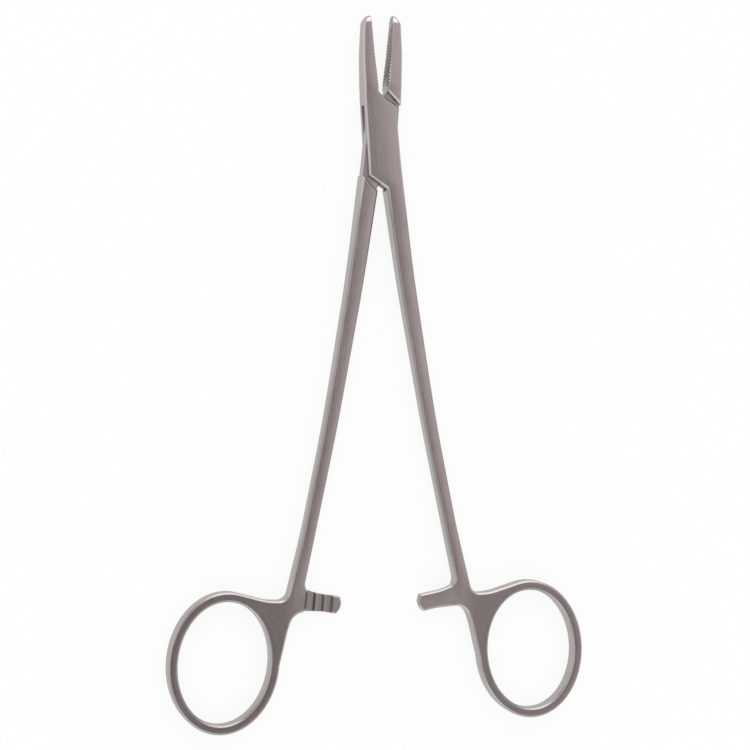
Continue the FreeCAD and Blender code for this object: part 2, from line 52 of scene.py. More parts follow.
@dataclass
class Graph:
    """Short calls that add and join shader nodes in one tree."""

    tree: bpy.types.NodeTree

    def node(self, kind: str, **settings: object) -> bpy.types.Node:
        """Add a node.

        Args:
            kind: The node's type name.
            settings: Properties to set on it.

        Returns:
            The new node.
        """
        made = self.tree.nodes.new(kind)
        for name, value in settings.items():
            setattr(made, name, value)
        return made

    def feed(self, target: Socket, source: Feed) -> None:
        """Link a socket to an input, or write a plain value there.

        Args:
            target: The input socket.
            source: A socket, a number or a triple.
        """
        if isinstance(source, bpy.types.NodeSocket):
            self.tree.links.new(source, target)
        else:
            target.default_value = source

    def math(self, operation: str, *sources: Feed) -> Socket:
        """Work out a number.

        Args:
            operation: The math node's operation.
            sources: Its inputs in order.

        Returns:
            The result.
        """
        made = self.node("ShaderNodeMath", operation=operation)
        for target, source in zip(made.inputs, sources):
            self.feed(target, source)
        return made.outputs["Value"]

    def product(self, *factors: Feed) -> Socket:
        """Multiply numbers.

        Args:
            factors: Two or more factors.

        Returns:
            Their product.
        """
        result = factors[0]
        for factor in factors[1:]:
            result = self.math("MULTIPLY", result, factor)
        return result

    def _vector_node(self, operation: str, *sources: Feed) -> bpy.types.Node:
        """Add a vector math node.

        Args:
            operation: Its operation.
            sources: Its inputs in order.

        Returns:
            The node.
        """
        made = self.node("ShaderNodeVectorMath", operation=operation)
        for target, source in zip(made.inputs, sources):
            self.feed(target, source)
        return made

    def vector(self, operation: str, *sources: Feed) -> Socket:
        """Work out a vector.

        Args:
            operation: The vector math node's operation.
            sources: Its inputs in order.

        Returns:
            The result.
        """
        return self._vector_node(operation, *sources).outputs["Vector"]

    def measure(self, operation: str, *sources: Feed) -> Socket:
        """Work out a number from vectors, such as a length.

        Args:
            operation: The vector math node's operation.
            sources: Its inputs in order.

        Returns:
            The result.
        """
        return self._vector_node(operation, *sources).outputs["Value"]

    def scaled(self, vector: Feed, factor: Feed) -> Socket:
        """Scale a vector or a colour.

        Args:
            vector: What is scaled.
            factor: The scale.

        Returns:
            The scaled vector.
        """
        made = self.node("ShaderNodeVectorMath", operation="SCALE")
        self.feed(made.inputs["Vector"], vector)
        self.feed(made.inputs["Scale"], factor)
        return made.outputs["Vector"]

    def split(self, vector: Socket) -> tuple[Socket, Socket, Socket]:
        """Split a vector into its parts.

        Args:
            vector: The vector.

        Returns:
            Its X, Y and Z.
        """
        made = self.node("ShaderNodeSeparateXYZ")
        self.feed(made.inputs["Vector"], vector)
        return made.outputs["X"], made.outputs["Y"], made.outputs["Z"]

    def join(self, *parts: Socket) -> Socket:
        """Join parts to a vector.

        Args:
            parts: Its X and Y, and Z where it isn't 0.

        Returns:
            The vector.
        """
        made = self.node("ShaderNodeCombineXYZ")
        for target, part in zip(made.inputs, parts):
            self.feed(target, part)
        return made.outputs["Vector"]

    def turned(self, vector: Socket, degrees: float) -> Socket:
        """Turn a vector about the Z axis.

        Args:
            vector: The vector.
            degrees: How far it turns.

        Returns:
            The turned vector.
        """
        made = self.node("ShaderNodeVectorRotate", rotation_type="Z_AXIS")
        self.feed(made.inputs["Vector"], vector)
        self.feed(made.inputs["Angle"], math.radians(degrees))
        return made.outputs["Vector"]

    def mix(self, blend: Blend, share: Feed, first: Feed, second: Feed) -> Socket:
        """Mix two inputs of one kind.

        Args:
            blend: The kind that is mixed.
            share: Share of the second input.
            first: The first input.
            second: The second input.

        Returns:
            The mixture.
        """
        data_type, ending = blend.value
        made = self.node("ShaderNodeMix", data_type=data_type)
        sockets = {socket.identifier: socket for socket in made.inputs}
        self.feed(sockets["Factor_Float"], share)
        for letter, source in (("A", first), ("B", second)):
            if blend is Blend.COLOUR and not isinstance(source, bpy.types.NodeSocket):
                source = (*source, 1.0)
            self.feed(sockets[letter + "_" + ending], source)
        return next(socket for socket in made.outputs
                    if socket.identifier == "Result_" + ending)

    def spread(self, source: Feed, low: float, high: float, to_low: float = 0.0,
               to_high: float = 1.0, soft: bool = False) -> Socket:
        """Map a range onto another, clamped at both ends.

        Args:
            source: The value to map.
            low: Start of the range.
            high: End of the range.
            to_low: Result at the start.
            to_high: Result at the end.
            soft: Whether the ends are eased.

        Returns:
            The mapped value.
        """
        made = self.node("ShaderNodeMapRange",
                         interpolation_type="SMOOTHSTEP" if soft else "LINEAR")
        for name, value in (("Value", source), ("From Min", low), ("From Max", high),
                            ("To Min", to_low), ("To Max", to_high)):
            self.feed(made.inputs[name], value)
        return made.outputs["Result"]

    def noise(self, coords: Feed, scale: Triple, detail: float) -> Socket:
        """Noise stretched along the axes.

        Args:
            coords: The vector it reads.
            scale: Scale along each axis.
            detail: Levels of detail.

        Returns:
            The noise value.
        """
        made = self.node("ShaderNodeTexNoise")
        self.feed(made.inputs["Scale"], 1.0)
        self.feed(made.inputs["Detail"], detail)
        self.feed(made.inputs["Vector"], self.vector("MULTIPLY", coords, scale))
        return made.outputs["Fac"]

    def curve(self, source: Socket, span: Pair, reach: Pair,
              stops: tuple[Pair, ...]) -> Socket:
        """A smooth curve through stops, in the units of the tool.

        Args:
            source: The value along the curve.
            span: Lowest and highest value of the source.
            reach: Lowest and highest result.
            stops: Pairs of source value and result, rising in source value.

        Returns:
            The result of the curve.
        """
        made = self.node("ShaderNodeFloatCurve")
        points = made.mapping.curves[0].points
        for index, (where, value) in enumerate(stops):
            place = ((where - span[0]) / (span[1] - span[0]),
                     (value - reach[0]) / (reach[1] - reach[0]))
            if index < 2:
                points[index].location = place
            else:
                points.new(*place)
        made.mapping.update()
        self.feed(made.inputs["Value"], self.spread(source, *span))
        return self.spread(made.outputs["Value"], 0.0, 1.0, *reach)


@dataclass(frozen=True)
class Step:
    """A change along one measure, from a start to an end."""

    start: float
    end: float
    soft: bool = True

    def rise(self, graph: Graph, source: Socket) -> Socket:
        """Go from 0 at the start to 1 at the end.

        Args:
            graph: The material's graph.
            source: The measure.

        Returns:
            The rising share.
        """
        return graph.spread(source, self.start, self.end, 0.0, 1.0, self.soft)

    def fall(self, graph: Graph, source: Socket) -> Socket:
        """Go from 1 at the start to 0 at the end.

        Args:
            graph: The material's graph.
            source: The measure.

        Returns:
            The falling share.
        """
        return graph.spread(source, self.start, self.end, 1.0, 0.0, self.soft)


@dataclass(frozen=True)
class Spot:
    """Where a point of the surface lies on the closed half, in mm, and how it faces."""

    place: Socket
    x: Socket
    y: Socket
    z: Socket
    facing: Socket
    upright: Socket

    @classmethod
    def on_half(cls, graph: Graph, side: Side, turn_deg: float) -> "Spot":
        """Work out the point on a half that is closed and has its ring on the right.

        Args:
            graph: The material's graph.
            side: On which side the ring really is.
            turn_deg: How far the half is turned from closed in the rest pose.

        Returns:
            The point.
        """
        coords = graph.node("ShaderNodeTexCoord").outputs
        turned = graph.turned(coords["Object"], -turn_deg)
        place = graph.vector("MULTIPLY", turned, (side.value / MM, 1.0 / MM, 1.0 / MM))
        facing = graph.split(coords["Normal"])[2]
        return cls(place, *graph.split(place), facing, graph.math("ABSOLUTE", facing))


@dataclass(frozen=True)
class GroundForm:
    """How the grinding wheel crowned one half: its middle line, width and ring, in mm."""

    side: Side
    turn_deg: float
    jaw_lean: Pair = (0.0, 0.0)
    jaw_from: Step = Step(6.0, 13.0)
    reach: Pair = (-120.0, 30.0)
    middle: tuple[Pair, ...] = (
        (-120.0, 12.2), (-113.0, 11.3), (-100.0, 9.3), (-73.0, 6.2), (-36.0, 3.2),
        (-13.0, 2.2), (-8.5, 0.0), (6.0, 0.0), (12.5, -1.95), (21.0, -1.64), (30.0, -1.15))
    half_wide: tuple[Pair, ...] = (
        (-120.0, 1.9), (-113.0, 1.7), (-100.0, 1.5), (-73.0, 1.55), (-36.0, 1.9),
        (-13.0, 2.1), (-8.5, 4.2), (6.0, 4.2), (12.5, 1.9), (21.0, 1.6), (30.0, 1.1))
    middle_span: Pair = (-4.0, 14.0)
    wide_span: Pair = (0.0, 6.0)
    crown: float = 0.13
    crown_past: float = 1.2
    blade_from: Step = Step(-118.0, -108.0)
    ring_middle: Pair = (27.98, -133.09)
    ring_half: Pair = (12.86, 16.48)
    ring_band: float = 1.19
    ring_crown: float = 0.1
    ring_below: Step = Step(-119.0, -115.5)
    web_toward: Triple = (-0.82, 0.57, 0.0)
    web_share: Step = Step(0.35, 0.65)
    brush_turn: Step = Step(13.5, 15.5)
    edge_round: float = 0.3
    edge_samples: int = 6
    pin_clear: float = 2.4
    plain_tooth: Pair = (8.3, 0.9)

    @property
    def ring_size(self) -> float:
        """Mean half width of the ring.

        Returns:
            The mean, in mm.
        """
        return sum(self.ring_half) / 2.0

    def spot(self, graph: Graph) -> Spot:
        """The point of the surface on this half.

        Args:
            graph: The material's graph.

        Returns:
            The point.
        """
        return Spot.on_half(graph, self.side, self.turn_deg)

    def brush_course(self, graph: Graph, spot: Spot) -> Socket:
        """The course of the brush: straight along the half, then round the ring.

        Args:
            graph: The material's graph.
            spot: The point of the surface.

        Returns:
            A position whose second part runs along the brush strokes.
        """
        offset = graph.vector("SUBTRACT", spot.place, (*self.ring_middle, 0.0))
        x, y, z = graph.split(offset)
        evened = graph.vector("MULTIPLY", offset, (self.ring_size / self.ring_half[0],
                                                   self.ring_size / self.ring_half[1], 0.0))
        angle = graph.math("ARCTAN2", y, x)
        round_ring = graph.join(graph.measure("LENGTH", evened),
                                graph.product(angle, self.ring_size), z)
        return graph.mix(Blend.DIRECTION, self.brush_turn.fall(graph, y), spot.place,
                         round_ring)

    def normal(self, graph: Graph, spot: Spot) -> Socket:
        """The face normal, soft at the edges, with the crown's lean added.

        Args:
            graph: The material's graph.
            spot: The point of the surface.

        Returns:
            The leaning normal.
        """
        lean = graph.vector("ADD", self._blade_lean(graph, spot), self._ring_lean(graph, spot))
        mirrored = graph.vector("MULTIPLY", lean, (self.side.value, 1.0, 1.0))
        world = graph.node("ShaderNodeVectorTransform", vector_type="VECTOR",
                           convert_from="OBJECT", convert_to="WORLD")
        graph.feed(world.inputs["Vector"], graph.turned(mirrored, self.turn_deg))
        added = graph.vector("ADD", self._edge_normal(graph, spot), world.outputs["Vector"])
        return graph.vector("NORMALIZE", added)

    def _blade_lean(self, graph: Graph, spot: Spot) -> Socket:
        """The lean of jaw, box and shank, across their middle line.

        Args:
            graph: The material's graph.
            spot: The point of the surface.

        Returns:
            The lean, in the half's own directions.
        """
        middle = graph.curve(spot.y, self.reach, self.middle_span, self.middle)
        wide = graph.curve(spot.y, self.reach, self.wide_span, self.half_wide)
        off = graph.math("DIVIDE", graph.math("SUBTRACT", spot.x, middle), wide)
        most = self.crown_past * self.crown
        off = graph.spread(off, -self.crown_past, self.crown_past, -most, most)
        blade = graph.product(off, self.blade_from.rise(graph, spot.y))
        jaw = self.jaw_from.rise(graph, spot.y)
        return graph.join(graph.math("MULTIPLY_ADD", jaw, self.jaw_lean[0], blade),
                          graph.product(jaw, self.jaw_lean[1]))

    def _ring_lean(self, graph: Graph, spot: Spot) -> Socket:
        """The lean of the ring, away from the middle of its band, but not on the web.

        Args:
            graph: The material's graph.
            spot: The point of the surface.

        Returns:
            The lean, in the half's own directions.
        """
        from_middle = graph.vector("SUBTRACT", spot.place, (*self.ring_middle, 0.0))
        evened = graph.vector("MULTIPLY", from_middle,
                              (1.0 / self.ring_half[0], 1.0 / self.ring_half[1], 0.0))
        past = graph.math("SUBTRACT", graph.measure("LENGTH", evened), 1.0)
        band = graph.product(past, self.ring_size / self.ring_band)
        outward = graph.vector("NORMALIZE", evened)
        web = graph.measure("DOT_PRODUCT", outward, self.web_toward)
        lean = graph.product(
            graph.spread(band, -1.0, 1.0, -self.ring_crown, self.ring_crown),
            self.web_share.fall(graph, web), self.ring_below.fall(graph, spot.y))
        return graph.scaled(outward, lean)

    def _edge_normal(self, graph: Graph, spot: Spot) -> Socket:
        """The normal with soft edges, but plain at the pin and at the innermost tooth.

        Args:
            graph: The material's graph.
            spot: The point of the surface.

        Returns:
            The normal, in world directions.
        """
        soft = graph.node("ShaderNodeBevel", samples=self.edge_samples)
        graph.feed(soft.inputs["Radius"], self.edge_round * MM)
        from_pin = graph.measure("LENGTH", graph.vector("MULTIPLY", spot.place,
                                                        (1.0, 1.0, 0.0)))
        off_pin = graph.math("GREATER_THAN", from_pin, self.pin_clear)
        tooth = graph.product(graph.math("COMPARE", spot.x, *self.plain_tooth),
                              graph.math("COMPARE", spot.y, *ARM_BAND))
        return graph.mix(Blend.DIRECTION, graph.math("SUBTRACT", off_pin, tooth),
                         graph.node("ShaderNodeNewGeometry").outputs["Normal"],
                         soft.outputs["Normal"])


@dataclass(frozen=True)
class JawSerration:
    """Diamond serration of the jaw face, painted: a darker tone that is partly a matt finish
    and partly painted shade, painted shade in the grooves, painted highlights on the crests,
    painted glints at the crest ends.
    """

    # Darker tone of the serrated face: partly its matt finish, partly painted shade.
    tone: Colour = (0.33, 0.30, 0.298)
    # Brightening of the crests: painted highlight.
    crest_highlight_gain: float = 2.4
    # Colour of the crest ends: painted glints.
    crest_end_glint_colour: Colour = (0.95, 0.90, 0.90)
    # Share of the painted shade strip and painted glints at the crest ends.
    crest_end_painted_light_share: float = 1.0
    pitch: float = 0.8
    slant: float = 0.3
    face_deep: float = 0.8
    face_side: Step = Step(0.75, 0.85, soft=False)
    face_from: Step = Step(12.4, 12.8, soft=False)
    crest_share: Step = Step(0.1, 0.8, soft=False)
    strip_deep: float = 0.38
    strip_upright: float = 0.6
    strip_from: Step = Step(12.8, 13.6, soft=False)
    strip_to: Step = Step(26.0, 28.0, soft=False)
    strip_beat: Step = Step(-0.1, 0.3, soft=False)

    def face(self, graph: Graph, spot: Spot) -> Socket:
        """Where the working face of the jaw is.

        Args:
            graph: The material's graph.
            spot: The point of the surface.

        Returns:
            The mask of the face.
        """
        near = graph.math("LESS_THAN", graph.math("ABSOLUTE", spot.x), self.face_deep)
        return graph.product(self.face_side.fall(graph, spot.upright), near,
                             self.face_from.rise(graph, spot.y))

    def colour(self, graph: Graph, spot: Spot, face: Socket, steel: Socket) -> Socket:
        """Paint the serration's darker tone, its shade and its highlights over the steel.

        Args:
            graph: The material's graph.
            spot: The point of the surface.
            face: The mask of the face.
            steel: The colour of the steel.

        Returns:
            The colour with the painted serration.
        """
        # Painted shade in the grooves and painted highlights on the crests.
        light = tuple(self.crest_highlight_gain * part for part in self.tone)
        serration_painted_relief = graph.mix(Blend.COLOUR, self._crests(graph, spot), self.tone, light)
        steel = graph.mix(Blend.COLOUR, face, steel, serration_painted_relief)
        strip = self._strip(graph, spot)
        beat = graph.math("SINE", graph.product(spot.y, self._turn()))
        ends = graph.product(strip, self.strip_beat.rise(graph, beat))
        # Painted shade along the front edge strip, then painted glints at the crest ends.
        steel = graph.mix(Blend.COLOUR, strip, steel, self.tone)
        return graph.mix(Blend.COLOUR, ends, steel, self.crest_end_glint_colour)

    def _turn(self) -> float:
        """How fast the waves of the serration turn.

        Returns:
            Radians for each mm.
        """
        return 2.0 * math.pi / self.pitch

    def _crests(self, graph: Graph, spot: Spot) -> Socket:
        """Painted highlights on the crests, where two slanting waves are both high or both
        low.

        Args:
            graph: The material's graph.
            spot: The point of the surface.

        Returns:
            The share of painted crest highlight.
        """
        waves = [graph.math("SINE", graph.product(
            graph.math("MULTIPLY_ADD", spot.z, slant, spot.y), self._turn()))
            for slant in (self.slant, -self.slant)]
        return self.crest_share.rise(graph, graph.product(*waves))

    def _strip(self, graph: Graph, spot: Spot) -> Socket:
        """The strip of the crest ends, along the front edge of the jaw, where shade and glints
        are painted.

        Args:
            graph: The material's graph.
            spot: The point of the surface.

        Returns:
            The mask of the strip.
        """
        near = graph.math("LESS_THAN", graph.math("ABSOLUTE", spot.x), self.strip_deep)
        flat = graph.math("GREATER_THAN", spot.upright, self.strip_upright)
        return graph.product(near, flat, self.strip_from.rise(graph, spot.y),
                             self.strip_to.fall(graph, spot.y), self.crest_end_painted_light_share)


@dataclass(frozen=True)
class RatchetPaintedLight:
    """Painted shade and light on the toothed side of the arm: painted shade over the side and
    at the roots, painted glints, the innermost tooth painted lighter.
    """

    first_x: float = 1.4
    pitch: float = 2.25
    toothed_side: float = 0.2
    # Painted shade over the toothed side, darker at the tooth roots.
    shade: float = 0.64
    root_shade: float = 0.50
    root_lead: float = 0.16
    root_in: Step = Step(0.0, 0.10, soft=False)
    root_out: Step = Step(0.22, 0.38)
    # Painted glint on each tooth.
    glint_at: float = 0.88
    glint_half: float = 0.05
    glint_gain: float = 0.22
    # The innermost tooth is painted lighter than the steel.
    plain_from: float = 2.94
    plain_to: float = 3.2
    inner_tooth_painted_light: float = 1.3

    def share(self, graph: Graph, spot: Spot, side: Side) -> Socket:
        """How much of the steel's tone stays under the painted shade and glints.

        Args:
            graph: The material's graph.
            spot: The point of the surface.
            side: On which side the half's ring is.

        Returns:
            The share of the tone.
        """
        step = graph.math("DIVIDE", graph.math("SUBTRACT", spot.x, self.first_x), self.pitch)
        along = graph.product(graph.math("GREATER_THAN", step, -self.root_lead),
                              graph.math("LESS_THAN", step, self.plain_to))
        across = graph.math("COMPARE", spot.y, *ARM_BAND)
        toothed = graph.math("GREATER_THAN", graph.product(spot.facing, -side.value),
                             self.toothed_side)
        tone = graph.math("SUBTRACT", self._tone(graph, step), 1.0)
        return graph.math("MULTIPLY_ADD", graph.product(along, across, toothed), tone, 1.0)

    def _tone(self, graph: Graph, step: Socket) -> Socket:
        """Painted shade and glints along the teeth.

        Args:
            graph: The material's graph.
            step: Count of pitches from the outermost tooth.

        Returns:
            The painted tone on the toothed side.
        """
        part = graph.math("FRACT", graph.math("ADD", step, self.root_lead))
        root = graph.product(self.root_in.rise(graph, part), self.root_out.fall(graph, part))
        tone = graph.spread(root, 0.0, 1.0, self.shade, self.root_shade)
        glint = graph.math("COMPARE", part, self.glint_at, self.glint_half)
        tone = graph.math("MULTIPLY_ADD", glint, self.glint_gain, tone)
        plain = graph.math("GREATER_THAN", step, self.plain_from)
        return graph.math("MULTIPLY_ADD", plain,
                          graph.math("SUBTRACT", self.inner_tooth_painted_light, tone), tone)


@dataclass(frozen=True)
class HandlePaintedShade:
    """Painted shade: darker fronts of web and ring, and darker slanted edges below the box."""

    # Painted shade on the fronts and on the slanted edges.
    front_shade: float = 0.72
    front: Step = Step(0.8, 0.95, soft=False)
    front_below: Step = Step(-118.0, -104.0)
    front_beyond: Step = Step(9.0, 15.0)
    shank_edge_shade: float = 0.66
    ring_edge_shade: float = 0.84
    ring_edge_below: Step = Step(-116.0, -104.0)
    slant_in: Step = Step(0.3, 0.5, soft=False)
    slant_out: Step = Step(0.82, 0.95, soft=False)
    slant_below: Step = Step(-22.0, -12.0)

    def share(self, graph: Graph, spot: Spot) -> Socket:
        """How much of the steel's tone stays under the painted shade.

        Args:
            graph: The material's graph.
            spot: The point of the surface.

        Returns:
            The share of the tone.
        """
        front = graph.product(self.front.rise(graph, spot.upright),
                              self.front_below.fall(graph, spot.y),
                              self.front_beyond.rise(graph, spot.x))
        front = graph.spread(front, 0.0, 1.0, 1.0, self.front_shade)
        slant = graph.product(self.slant_in.rise(graph, spot.upright),
                              self.slant_out.fall(graph, spot.upright),
                              self.slant_below.fall(graph, spot.y))
        below = self.ring_edge_below
        tone = graph.spread(spot.y, below.start, below.end, self.ring_edge_shade,
                            self.shank_edge_shade, below.soft)
        edge = graph.math("MULTIPLY_ADD", slant, graph.math("SUBTRACT", tone, 1.0), 1.0)
        return graph.product(front, edge)


@dataclass(frozen=True)
class BrushMarks:
    """Fine and broad brush streaks, and a soft clouding."""

    fine: Triple = (9.0, 0.35, 9.0)
    broad: Triple = (2.6, 0.12, 2.6)
    cloud: Triple = (0.12, 0.05, 0.12)
    streak_detail: float = 2.0
    cloud_detail: float = 3.0
    fine_share: float = 0.6
    streak_share: float = 0.5
    wear: Step = Step(0.36, 0.64, soft=False)
    strength: float = 0.12
    depth: float = 0.03 * MM

    def streaks(self, graph: Graph, course: Socket) -> Socket:
        """Streaks in two widths.

        Args:
            graph: The material's graph.
            course: The course of the brush.

        Returns:
            The streak value.
        """
        broad = graph.product(graph.noise(course, self.broad, self.streak_detail),
                              1.0 - self.fine_share)
        fine = graph.noise(course, self.fine, self.streak_detail)
        return graph.math("MULTIPLY_ADD", fine, self.fine_share, broad)

    def worn(self, graph: Graph, spot: Spot, streaks: Socket) -> Socket:
        """Share of the brighter steel, from streaks and clouding.

        Args:
            graph: The material's graph.
            spot: The point of the surface.
            streaks: The streak value.

        Returns:
            The share of the brighter tone.
        """
        cloud = graph.product(graph.noise(spot.place, self.cloud, self.cloud_detail),
                              1.0 - self.streak_share)
        return self.wear.rise(graph, graph.math("MULTIPLY_ADD", streaks, self.streak_share,
                                                cloud))

    def bumped(self, graph: Graph, streaks: Socket, normal: Socket) -> Socket:
        """Raise the streaks on a normal.

        Args:
            graph: The material's graph.
            streaks: The streak value.
            normal: The normal below them.

        Returns:
            The bumped normal.
        """
        made = graph.node("ShaderNodeBump")
        for name, value in (("Strength", self.strength), ("Distance", self.depth),
                            ("Height", streaks), ("Normal", normal)):
            graph.feed(made.inputs[name], value)
        return made.outputs["Normal"]


@dataclass(frozen=True)
class SatinSteel:
    """Satin stainless steel, brushed along the piece, darker and rougher where serrated, with
    painted shade and highlights on jaw, teeth and handle.
    """

    name: str
    form: GroundForm
    serration: JawSerration = JawSerration()
    ratchet: RatchetPaintedLight = RatchetPaintedLight()
    handle: HandlePaintedShade = HandlePaintedShade()
    brush: BrushMarks = BrushMarks()
    tone: Colour = (0.50, 0.474, 0.468)
    shade: Colour = (0.42, 0.395, 0.39)
    edge_tint: Colour = (0.80, 0.83, 0.78)
    rough: Pair = (0.24, 0.34)
    rough_streaks: Step = Step(0.3, 0.7, soft=False)
    serrated_rough: float = 0.45

    def material(self) -> bpy.types.Material:
        """Build the node material.

        Returns:
            The material, which reads Object coordinates and the surface's own normal.
        """
        mat = bpy.data.materials.new(self.name)
        mat.use_nodes = True
        graph = Graph(mat.node_tree)
        shader = mat.node_tree.nodes["Principled BSDF"]
        shader.inputs["Metallic"].default_value = 1.0
        shader.inputs["Specular Tint"].default_value = (*self.edge_tint, 1.0)
        spot = self.form.spot(graph)
        streaks = self.brush.streaks(graph, self.form.brush_course(graph, spot))
        face = self.serration.face(graph, spot)
        graph.feed(shader.inputs["Base Color"], self._colour(graph, spot, streaks, face))
        low, high = self.rough
        rough = graph.spread(streaks, self.rough_streaks.start, self.rough_streaks.end,
                             low, high)
        graph.feed(shader.inputs["Roughness"],
                   graph.mix(Blend.NUMBER, face, rough, self.serrated_rough))
        graph.feed(shader.inputs["Normal"],
                   self.brush.bumped(graph, streaks, self.form.normal(graph, spot)))
        return mat

    def _colour(self, graph: Graph, spot: Spot, streaks: Socket, face: Socket) -> Socket:
        """Tone of the steel with its brush marks and its painted shade and highlights.

        Args:
            graph: The material's graph.
            spot: The point of the surface.
            streaks: The streak value.
            face: The mask of the serrated face.

        Returns:
            The colour.
        """
        worn = graph.mix(Blend.COLOUR, self.brush.worn(graph, spot, streaks), self.shade,
                         self.tone)
        steel = self.serration.colour(graph, spot, face, worn)
        # Painted shade and glints of teeth and handle scale the tone.
        return graph.scaled(steel, graph.product(
            self.ratchet.share(graph, spot, self.form.side), self.handle.share(graph, spot)))


@dataclass
class GroundFaces:
    """Smooth shading that keeps edges sharper than a named angle."""

    sharp_from_deg: float = 18.0
    tree: bpy.types.NodeTree = field(init=False)
    angle_key: str = field(init=False)

    def __post_init__(self) -> None:
        """Build the geometry node tree with the input Angle."""
        self.tree = bpy.data.node_groups.new("ground_faces", "GeometryNodeTree")
        sides = self.tree.interface
        sides.new_socket("Geometry", in_out="INPUT", socket_type="NodeSocketGeometry")
        angle = sides.new_socket("Angle", in_out="INPUT", socket_type="NodeSocketFloat")
        sides.new_socket("Geometry", in_out="OUTPUT", socket_type="NodeSocketGeometry")
        self.angle_key = angle.identifier
        graph = Graph(self.tree)
        start, end = graph.node("NodeGroupInput"), graph.node("NodeGroupOutput")
        faces = graph.node("GeometryNodeSetShadeSmooth", domain="FACE")
        edges = graph.node("GeometryNodeSetShadeSmooth", domain="EDGE")
        edges.inputs["Shade Smooth"].default_value = False
        between = graph.node("GeometryNodeInputMeshEdgeAngle")
        wide = graph.node("FunctionNodeCompare", data_type="FLOAT", operation="GREATER_THAN")
        graph.feed(wide.inputs["A"], between.outputs["Unsigned Angle"])
        graph.feed(wide.inputs["B"], start.outputs["Angle"])
        graph.feed(faces.inputs["Geometry"], start.outputs["Geometry"])
        graph.feed(edges.inputs["Geometry"], faces.outputs["Geometry"])
        graph.feed(edges.inputs["Selection"], wide.outputs["Result"])
        graph.feed(end.inputs["Geometry"], edges.outputs["Geometry"])

    def shade(self, piece: bpy.types.Object) -> None:
        """Add the shading to a piece.

        Args:
            piece: The object.
        """
        ground = piece.modifiers.new("ground", "NODES")
        ground.node_group = self.tree
        ground[self.angle_key] = math.radians(self.sharp_from_deg)


@dataclass
class ForgedPiece:
    """One forged or turned piece of the tool, kept as its CAD solid."""

    node: str
    steel: SatinSteel
    weld_within: float = 0.002 * MM

    def dress(self, faces: GroundFaces) -> None:
        """Give the piece its finish and its shading.

        Args:
            faces: The shading shared by all pieces.
        """
        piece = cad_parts[self.node]
        piece.data.materials.clear()
        piece.data.materials.append(self.steel.material())
        weld = piece.modifiers.new("weld", "WELD")
        weld.merge_threshold = self.weld_within
        faces.shade(piece)
        LOG.info("dressed %s", self.node)


@dataclass
class NeedleHolder:
    """The whole tool: two forged halves and the pin of the box lock."""

    half_open: float = 5.325
    left_jaw_lean: Pair = (-0.03, -0.075)
    # Share of the painted crest-end glints and strip shade on the left jaw.
    left_crest_end_painted_light: float = 0.15

    def pieces(self) -> list[ForgedPiece]:
        """The pieces with their finishes.

        Returns:
            One entry for each node.
        """
        box_form = GroundForm(Side.RIGHT, self.half_open, jaw_lean=self.left_jaw_lean)
        tenon_form = GroundForm(Side.LEFT, -self.half_open)
        # The left jaw gets fainter painted crest-end glints and strip shade.
        faint = JawSerration(crest_end_painted_light_share=self.left_crest_end_painted_light)
        return [
            ForgedPiece("box_half", SatinSteel("steel_box_half", box_form, faint)),
            ForgedPiece("tenon_half", SatinSteel("steel_tenon_half", tenon_form)),
            ForgedPiece("joint_pin", SatinSteel("steel_pin", box_form)),
        ]

    def build(self) -> None:
        """Dress every piece."""
        faces = GroundFaces()
        for piece in self.pieces():
            piece.dress(faces)


@dataclass(frozen=True)
class SoftBox:
    """A soft rectangular lamp that looks at the middle of the tool."""

    name: str
    place: Triple
    size: Pair = (0.9, 0.35)
    power: float = 1.2
    aim: Triple = (0.0, -0.06, 0.0)

    def build(self) -> None:
        """Add the lamp to the scene."""
        data = bpy.data.lights.new(self.name, "AREA")
        data.shape = "RECTANGLE"
        data.size, data.size_y = self.size
        data.energy = self.power
        lamp = bpy.data.objects.new(self.name, data)
        lamp.location = self.place
        toward = Vector(self.aim) - Vector(self.place)
        lamp.rotation_euler = toward.to_track_quat("-Z", "Y").to_euler()
        bpy.context.scene.collection.objects.link(lamp)


